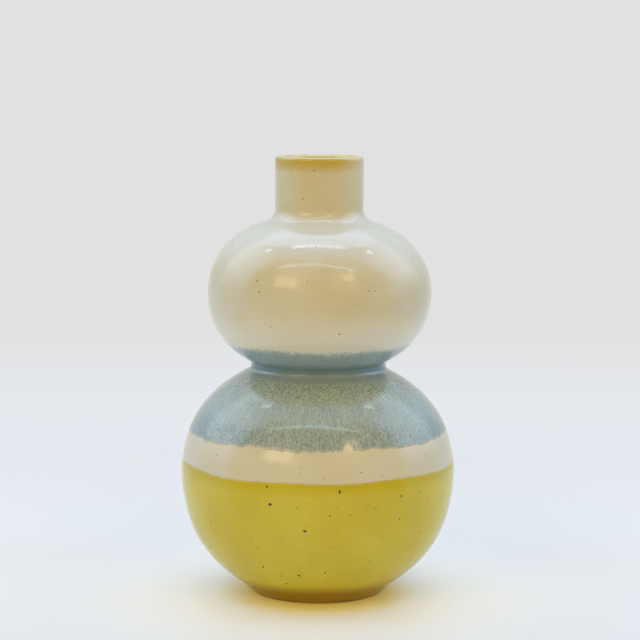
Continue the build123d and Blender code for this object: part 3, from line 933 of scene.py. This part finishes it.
class VASE_OT_cream_band(bpy.types.Operator):
    """Builds the cream band of the lower bulb, which runs on under the yellow and the blue coat"""

    bl_idname = "vase.cream_band"
    bl_label = "Cream band"

    def execute(self, context):
        sizes = context.scene.vase_sizes
        skin = Skin(sizes)
        first = float(skin.station(sizes.yellow_top)) - 2.0 * MILLIMETRE
        last = float(skin.station(sizes.blue_bottom)) + 9.0 * MILLIMETRE
        mesh = coat_mesh("cream_band", skin, sizes, first, last, 48, flush)
        colours = context.scene.vase_colours
        cream = shared_finish("cream_fired", lambda: cream_finish("cream_fired", 0.10, colours))
        add_piece("cream_band", mesh, cream, "cream_band_glaze")
        return {"FINISHED"}


class VASE_OT_blue(bpy.types.Operator):
    """Builds the blue coat of the waist, which lies over the cream with a wandering, dripping edge"""

    bl_idname = "vase.blue"
    bl_label = "Blue coat"

    def execute(self, context):
        sizes = context.scene.vase_sizes
        skin = Skin(sizes)
        angle = np.linspace(0.0, 2.0 * math.pi, COLUMNS, endpoint=False)
        drips = wandering(angle, 5, ((2, 9, 0.55), (12, 60, 0.35), (70, 200, 0.14)))
        first = skin.station(sizes.blue_bottom) + drips
        notch_place = FRONT + math.radians(12.7)
        away = np.angle(np.exp(1j * (angle - notch_place)))
        first = first + 4.4 * MILLIMETRE * np.exp(-(away / 0.034) ** 4)
        first = first + 0.8 * MILLIMETRE * np.maximum(np.cos(angle), 0.0)
        speckled_edge = 5.5 * MILLIMETRE
        last = skin.station(sizes.blue_top) + speckled_edge
        last = last + wandering(angle, 8, ((2, 9, 0.3), (12, 60, 0.25), (70, 200, 0.2)))
        lift = overlapping(0.18 * MILLIMETRE, 1.3 * MILLIMETRE, 4.5 * MILLIMETRE)
        mesh = coat_mesh("blue_coat", skin, sizes, first, last, 108, lift)
        blue = blue_finish(context.scene.vase_colours)
        add_piece("blue_coat", mesh, blue, "blue_glaze")
        return {"FINISHED"}


class VASE_OT_upper_cream(bpy.types.Operator):
    """Builds the cream coat of the upper bulb and neck, which begins under the blue coat"""

    bl_idname = "vase.upper_cream"
    bl_label = "Upper cream coat"

    def execute(self, context):
        sizes = context.scene.vase_sizes
        skin = Skin(sizes)
        first = float(skin.station(sizes.blue_top)) - 2.0 * MILLIMETRE
        last = float(skin.station(sizes.total_height - sizes.rim_band))
        mesh = coat_mesh("upper_cream", skin, sizes, first, last, 112, flush)
        colours = context.scene.vase_colours
        cream = shared_finish("cream_fired", lambda: cream_finish("cream_fired", 0.10, colours))
        add_piece("upper_cream", mesh, cream, "upper_cream_glaze")
        return {"FINISHED"}


class VASE_OT_rim(bpy.types.Operator):
    """Builds the ochre band over the lip"""

    bl_idname = "vase.rim"
    bl_label = "Ochre rim"

    def execute(self, context):
        sizes = context.scene.vase_sizes
        skin = Skin(sizes)
        band = sizes.total_height - sizes.rim_band
        first = float(skin.station(band)) - 2.5 * MILLIMETRE
        lift = overlapping(0.03 * MILLIMETRE, 2.5 * MILLIMETRE, 0.0)
        mesh = coat_mesh("ochre_rim", skin, sizes, first, skin.inner_station(band), 66, lift)
        ochre = cream_finish("ochre_fired", 0.12, context.scene.vase_colours)
        add_piece("ochre_rim", mesh, ochre, "rim_glaze")
        return {"FINISHED"}


class VASE_OT_liner(bpy.types.Operator):
    """Builds the thin coat inside, from the lip down both bulbs to the middle of the floor"""

    bl_idname = "vase.liner"
    bl_label = "Inner coat"

    def execute(self, context):
        sizes = context.scene.vase_sizes
        skin = Skin(sizes)
        first = skin.inner_station(sizes.total_height - sizes.rim_band)
        mesh = coat_mesh("inner_coat", skin, sizes, first, float(skin.run[-1]), 150, flush, columns=240)
        close_pole(mesh)
        liner = liner_finish(context.scene.vase_colours)
        add_piece("inner_coat", mesh, liner, "liner_glaze")
        return {"FINISHED"}


class VASE_OT_specks(bpy.types.Operator):
    """Builds the iron specks: small flat lenses set in the face of the glaze"""

    bl_idname = "vase.specks"
    bl_label = "Iron specks"

    def execute(self, context):
        sizes = context.scene.vase_sizes
        skin = Skin(sizes)
        chance = np.random.default_rng(3)
        # Specks on the front, as degrees from it, height and radius in millimetres
        seen = np.array((
            (8.8, 81.1, 0.95), (-20.6, 83.0, 0.75), (-19.3, 72.1, 1.10), (35.8, 75.4, 0.75),
            (45.7, 75.7, 0.50), (52.4, 69.9, 0.50), (5.0, 66.0, 0.55), (24.0, 70.0, 0.50),
            (-52.0, 54.0, 0.55), (-5.0, 56.0, 1.05), (51.0, 49.0, 0.50), (-27.0, 42.0, 0.50),
            (25.0, 34.0, 0.45), (-27.2, 29.0, 0.85), (-9.2, 24.5, 0.95), (3.9, 27.0, 0.75),
            (-17.3, 17.1, 0.85), (-18.4, 24.2, 0.45), (-8.0, 71.0, 0.45), (9.0, 55.0, 0.35),
            (17.9, 92.2, 0.50), (27.1, 88.8, 0.40), (2.5, 89.0, 0.35), (52.1, 97.7, 0.40),
            (-47.3, 97.7, 0.45), (-6.8, 95.5, 0.35), (-7.1, 91.9, 0.30), (18.5, 98.9, 0.30),
            (-33.2, 206.1, 0.55), (-31.2, 199.6, 0.55), (-6.0, 206.8, 0.35), (25.8, 200.9, 0.45),
            (29.2, 200.8, 0.35), (-53.7, 208.5, 0.35), (48.6, 237.1, 0.45), (10.7, 175.1, 0.55),
            (-2.2, 227.1, 0.45), (-7.0, 272.4, 0.45), (-21.2, 254.4, 0.45),
        ))
        # Specks all round, as their number, lowest and highest level and largest radius in millimetres
        fields = ((110, 10, 84, 0.42), (26, 87, 101, 0.32), (90, 164, 240, 0.30), (14, 250, 270, 0.30))
        angles = [FRONT + np.radians(seen[:, 0])]
        heights = [seen[:, 1]]
        reaches = [seen[:, 2]]
        for count, lowest, highest, largest in fields:
            angles.append(chance.uniform(0.0, 2.0 * math.pi, count))
            heights.append(chance.uniform(lowest, highest, count))
            reaches.append(largest * chance.uniform(0.35, 1.0, count) ** 1.6)
        angle = np.concatenate(angles)[:, None]
        run = skin.station(np.concatenate(heights) * MILLIMETRE)[:, None]
        reach = np.concatenate(reaches)[:, None] * MILLIMETRE
        longer = chance.uniform(0.85, 1.3, reach.shape)
        tilt = chance.uniform(0.0, math.pi, reach.shape)
        radius, height, out_radius, out_height = skin.at(run)
        corners = 10
        ring = np.linspace(0.0, 2.0 * math.pi, corners, endpoint=False)
        around = np.tile(ring, 4)[None, :]
        spoke = np.repeat((0.02, 0.6, 1.0, 0.02), corners)[None, :]
        dome = np.repeat((0.05, 0.035, -0.03, -0.10), corners)
        ragged = 1.0 + 0.22 * np.sin(2.0 * around + 5.0 * tilt) + 0.12 * np.sin(3.0 * around + 11.0 * tilt)
        east = reach * longer * spoke * ragged * np.cos(around)
        north = reach / longer * spoke * ragged * np.sin(around)
        across = east * np.cos(tilt) - north * np.sin(tilt)
        up = east * np.sin(tilt) + north * np.cos(tilt)
        below_edge = skin.station(sizes.yellow_top) + 0.6 * MILLIMETRE - run
        on_yellow = smooth_step(below_edge, 0.0, 2.4 * MILLIMETRE)
        coat_lift = (1.4 * on_yellow - 0.4) * YELLOW_LIFT * (on_yellow > 0.0)
        over = hand_relief(skin, angle, run) + coat_lift + (dome[None, :] + 0.01) * MILLIMETRE
        spread = radius + over * out_radius - up * out_height
        rise = height + over * out_height + up * out_radius
        swing = angle + across / radius
        points = np.stack((spread * np.cos(swing), spread * np.sin(swing), rise), axis=-1)
        mesh = lens_mesh("iron_specks", points.reshape(len(points), 4, corners, 3))
        add_piece("iron_specks", mesh, iron_finish(context.scene.vase_colours), None)
        return {"FINISHED"}


def lens_mesh(name, lens):
    """A mesh of many closed lenses, each a stack of four rings whose first and last are capped."""
    count, rings, spokes = lens.shape[:3]
    base = (np.arange(count) * rings * spokes)[:, None, None]
    ring = base + np.arange(rings - 1)[None, :, None] * spokes
    above = ring + spokes
    spoke = np.arange(spokes)[None, None, :]
    after = (spoke + 1) % spokes
    walls = np.stack((above + spoke, above + after, ring + after, ring + spoke), axis=-1).reshape(-1, 4)
    first_cap = (base[:, 0] + np.arange(spokes)[None, :]).tolist()
    last_cap = (base[:, 0] + (rings - 1) * spokes + np.arange(spokes)[None, ::-1]).tolist()
    mesh = bpy.data.meshes.new(name)
    mesh.from_pydata(lens.reshape(-1, 3), [], walls.tolist() + first_cap + last_cap)
    mesh.polygons.foreach_set("use_smooth", np.ones(len(mesh.polygons), dtype=bool))
    mesh.update(calc_edges=True)
    return mesh


class VASE_OT_studio(bpy.types.Operator):
    """Builds the floor, the light tent and the camera"""

    bl_idname = "vase.studio"
    bl_label = "Studio"

    def execute(self, context):
        scene = context.scene
        light = scene.vase_light
        scene.view_settings.view_transform = "Standard"
        self.floor(scene, light)
        self.world(scene, light)
        bulb = Vector((0.0, 0.0, 0.19))
        down = Vector((0.0, 0.0, -1.0))
        roof = Vector((0.0, 0.22, 0.760))
        self.lamp(scene, "roof", roof, roof + down, 0.90, 0.76, light.tent, light.roof_level, "diffuse")
        oval = Vector((0.0, 0.25, 0.752))
        self.lamp(scene, "oval", oval, oval + down, 0.68, 0.70, light.shine, light.mirrored_oval,
                  "glossy", "ELLIPSE")
        strip = Vector((0.0, -0.03, 0.750))
        self.lamp(scene, "strip", strip, strip + down, 0.36, 0.04, light.shine, light.mirrored_strip,
                  "glossy")
        for name, side in (("left_end", -1.0), ("right_end", 1.0)):
            end = Vector((side * 0.38, 0.03, 0.745))
            self.lamp(scene, name, end, end + down, 0.07, 0.05, light.tent, light.mirrored_strip, "glossy")
        bar = Vector((-0.04, -0.44, 0.79))
        self.lamp(scene, "bar", bar, bulb, 0.98, 0.04, light.tent, light.mirrored_bar, "glossy")
        for name, side in (("left_wall", -1.0), ("right_wall", 1.0)):
            wall = Vector((side * 0.425, 0.20, 0.375))
            inward = Vector((-side, 0.0, 0.0))
            self.lamp(scene, name, wall, wall + inward, 0.64, 0.75, light.tent, light.wall_level, "diffuse")
        left = Vector((-1.06, -1.47, 0.95))
        self.lamp(scene, "left_window", left, bulb, 0.80, 0.50, light.room, light.window_level)
        left_wide = Vector((-0.85, -1.31, 1.09))
        self.lamp(scene, "left_glow", left_wide, bulb, 1.10, 1.00, light.room, 0.25 * light.window_level)
        right = Vector((0.93, -1.40, 1.28))
        self.lamp(scene, "right_window", right, bulb, 0.42, 0.42, light.room, light.window_level)
        right_wide = Vector((0.82, -1.61, 1.15))
        self.lamp(scene, "right_glow", right_wide, bulb, 0.95, 1.05, light.room, 0.30 * light.window_level)
        self.camera(scene)
        return {"FINISHED"}

    def floor(self, scene, light):
        """A round floor: rings whose radius grows from the middle outwards. It is lighter in front and its
        edge fades out. Round the vase it holds painted light: a yellow glow round the foot, in its colour
        and in light that it emits, and emitted light that lightens the vase's shadow."""
        radius = np.concatenate(((0.0005,), np.geomspace(0.02, 1.4, 60)))[:, None]
        angle = np.linspace(0.0, 2.0 * math.pi, 120, endpoint=False)[None, :]
        flat = np.zeros(np.broadcast(radius, angle).shape)
        points = np.stack((radius * np.cos(angle), radius * np.sin(angle), flat), axis=-1)
        rows, columns = flat.shape
        row = np.arange(rows - 1)[:, None] * columns
        column = np.arange(columns)[None, :]
        after = (column + 1) % columns
        outer = row + columns
        corners = np.stack((row + column, outer + column, outer + after, row + after), axis=-1)
        middle = list(range(columns))
        mesh = bpy.data.meshes.new("floor")
        mesh.from_pydata(points.reshape(-1, 3), [], corners.reshape(-1, 4).tolist() + [middle])
        finish = Finish("floor", 0.45, 1.45)
        paper = finish.noise(finish.place, 260.0, 3.0)
        away = finish.node("ShaderNodeVectorMath", operation="LENGTH")
        finish.feed(away.inputs[0], finish.place)
        from_glow = finish.node("ShaderNodeVectorMath", operation="DISTANCE")
        finish.feed(from_glow.inputs[0], finish.place)
        finish.feed(from_glow.inputs[1], (0.0, -0.010, 0.0))
        # Painted light on the floor: yellow colour and emitted light round the foot, and emitted light that
        # lightens the vase's shadow within 0.2 m.
        painted_glow_share = finish.between(from_glow.outputs["Value"], 0.040, 0.070, 1.0, 0.0)
        in_front = finish.between(finish.to_back, 0.12, -0.10)
        base = finish.blend(in_front, solid(light.floor), solid(light.floor_front))
        base = finish.shade(base, finish.between(paper, 0.3, 0.7, 0.99, 1.01))
        finish.paint(finish.blend(finish.sums("MULTIPLY", painted_glow_share, 0.5), base, solid(light.glow)))
        painted_fill_light = finish.blend(painted_glow_share, solid(light.backdrop_low), solid(light.glow))
        finish.feed(finish.shader.inputs["Emission Color"], painted_fill_light)
        finish.feed(finish.shader.inputs["Emission Strength"],
                    finish.between(away.outputs["Value"], 0.060, 0.200, 0.14, 0.0))
        finish.bump(paper, 0.02 * MILLIMETRE)
        clear = finish.node("ShaderNodeBsdfTransparent")
        fade = finish.node("ShaderNodeMixShader")
        finish.feed(fade.inputs[0], finish.between(away.outputs["Value"], 0.28, 0.62))
        finish.feed(fade.inputs[1], finish.shader.outputs[0])
        finish.feed(fade.inputs[2], clear.outputs[0])
        finish.feed(finish.tree.nodes["Material Output"].inputs["Surface"], fade.outputs[0])
        mesh.materials.append(finish.material)
        floor = bpy.data.objects.new("floor", mesh)
        scene.collection.objects.link(floor)

    def world(self, scene, light):
        """A pale tent behind and above the vase and a warmer room in front of it. The glaze mirrors a
        tent that brightens up its walls to a roof with a bowed front edge, and the camera sees the
        plain backdrop."""
        world = bpy.data.worlds.new("studio")
        world.use_nodes = True
        nodes = Nodes(world.node_tree)
        direction = nodes.node("ShaderNodeSeparateXYZ")
        nodes.feed(direction.inputs[0], nodes.node("ShaderNodeTexCoord").outputs["Generated"])
        across, back, up = (direction.outputs[axis] for axis in "XYZ")
        path = nodes.node("ShaderNodeLightPath")
        glossy = path.outputs["Is Glossy Ray"]

        def times(first, second):
            return nodes.sums("MULTIPLY", first, second)

        low = solid(light.backdrop_low)
        room = solid(part * light.room_level for part in light.room)
        plain_tent = solid(part * light.tent_level for part in light.tent)
        in_front = nodes.between(back, -0.08, -0.36)
        lighting = nodes.blend(in_front, plain_tent, room)
        lighting = nodes.blend(nodes.between(up, -0.10, 0.02), low, lighting)

        walls = times(nodes.between(back, -0.40, 0.04), nodes.between(back, 0.66, 0.42, 0.25, 1.0))
        over_floor = nodes.sums("MAXIMUM", nodes.sums("SUBTRACT", up, 0.05), 0.0)
        climb = nodes.sums("MINIMUM", times(over_floor, light.mirrored_climb), light.mirrored_wall)
        bowed = nodes.sums("SUBTRACT", back, times(across, across))
        roof = times(nodes.between(bowed, -0.06, 0.06), light.mirrored_roof)
        roof = nodes.sums("ADD", roof, light.mirrored_flap)
        climb = nodes.part_way(nodes.between(up, 0.70, 0.88), times(climb, walls), roof)
        tent_level = nodes.sums("ADD", climb, light.mirrored_tent)
        tent = nodes.blend(nodes.between(up, 0.6, 0.95), solid(light.tent), solid(light.shine))
        tent = nodes.shade(tent, tent_level)
        mirrored = nodes.blend(times(in_front, nodes.between(up, 0.90, 0.84)), tent, room)

        around = nodes.blend(glossy, lighting, mirrored)
        backdrop = nodes.blend(nodes.between(up, -0.178, -0.115), low, solid(light.backdrop_high))
        direct = nodes.sums("MAXIMUM", path.outputs["Is Camera Ray"], path.outputs["Is Transmission Ray"])
        shown = nodes.sums("MAXIMUM", direct, times(glossy, nodes.between(back, 0.72, 0.90)))
        background = world.node_tree.nodes["Background"]
        nodes.feed(background.inputs["Color"], nodes.blend(shown, around, backdrop))
        scene.world = world

    def lamp(self, scene, name, place, target, width, depth, tint, brightness,
             kind="both", shape="RECTANGLE"):
        """A flat lamp that faces a target and that the camera doesn't see. A diffuse one lights the
        surfaces but isn't mirrored in them, and a glossy one is only mirrored."""
        data = bpy.data.lights.new(name, "AREA")
        data.shape = shape
        data.size = width
        data.size_y = depth
        data.color = tint
        data.energy = 4.0 * width * depth * brightness
        lamp = bpy.data.objects.new(name, data)
        lamp.location = place
        lamp.rotation_euler = (target - place).to_track_quat("-Z", "Y").to_euler()
        lamp.visible_camera = False
        lamp.visible_diffuse = kind != "glossy"
        lamp.visible_glossy = kind != "diffuse"
        scene.collection.objects.link(lamp)

    def camera(self, scene):
        """A long lens a little above the neck, looking slightly down."""
        data = bpy.data.cameras.new("camera")
        data.sensor_width = 36.0
        data.lens = 121.04
        camera = bpy.data.objects.new("camera", data)
        pitch = 0.1224
        roll = 0.0061
        turned = Matrix.Rotation(math.pi / 2 - pitch, 4, "X") @ Matrix.Rotation(roll, 4, "Z")
        camera.matrix_world = Matrix.Translation((0.00084, -1.36796, 0.34344)) @ turned
        scene.collection.objects.link(camera)
        scene.camera = camera


class VASE_PT_panel(bpy.types.Panel):
    """Lists the vase's operators, sizes and colours"""

    bl_idname = "VASE_PT_panel"
    bl_label = "Double gourd vase"
    bl_space_type = "VIEW_3D"
    bl_region_type = "UI"
    bl_category = "Vase"

    def draw(self, context):
        for operator in OPERATORS:
            self.layout.operator(operator.bl_idname)
        for heading, group in (("Sizes", context.scene.vase_sizes), ("Colours", context.scene.vase_colours),
                               ("Studio", context.scene.vase_light)):
            box = self.layout.box()
            box.label(text=heading)
            for name in group.__annotations__:
                box.prop(group, name)


OPERATORS = (
    VASE_OT_clay,
    VASE_OT_foot,
    VASE_OT_yellow,
    VASE_OT_cream_band,
    VASE_OT_blue,
    VASE_OT_upper_cream,
    VASE_OT_rim,
    VASE_OT_liner,
    VASE_OT_specks,
    VASE_OT_studio,
)
CLASSES = (VaseSizes, GlazeColours, StudioLight, *OPERATORS, VASE_PT_panel)


def register():
    """Registers the classes and the scene's settings."""
    for part in CLASSES:
        bpy.utils.register_class(part)
    bpy.types.Scene.vase_sizes = bpy.props.PointerProperty(type=VaseSizes)
    bpy.types.Scene.vase_colours = bpy.props.PointerProperty(type=GlazeColours)
    bpy.types.Scene.vase_light = bpy.props.PointerProperty(type=StudioLight)


def unregister():
    """Takes the settings and the classes away again."""
    del bpy.types.Scene.vase_light
    del bpy.types.Scene.vase_colours
    del bpy.types.Scene.vase_sizes
    for part in reversed(CLASSES):
        bpy.utils.unregister_class(part)


def main():
    """Builds every piece and the studio."""
    register()
    bpy.ops.vase.clay()
    bpy.ops.vase.foot()
    bpy.ops.vase.yellow()
    bpy.ops.vase.cream_band()
    bpy.ops.vase.blue()
    bpy.ops.vase.upper_cream()
    bpy.ops.vase.rim()
    bpy.ops.vase.liner()
    bpy.ops.vase.specks()
    bpy.ops.vase.studio()


if __name__ == "__main__":
    main()
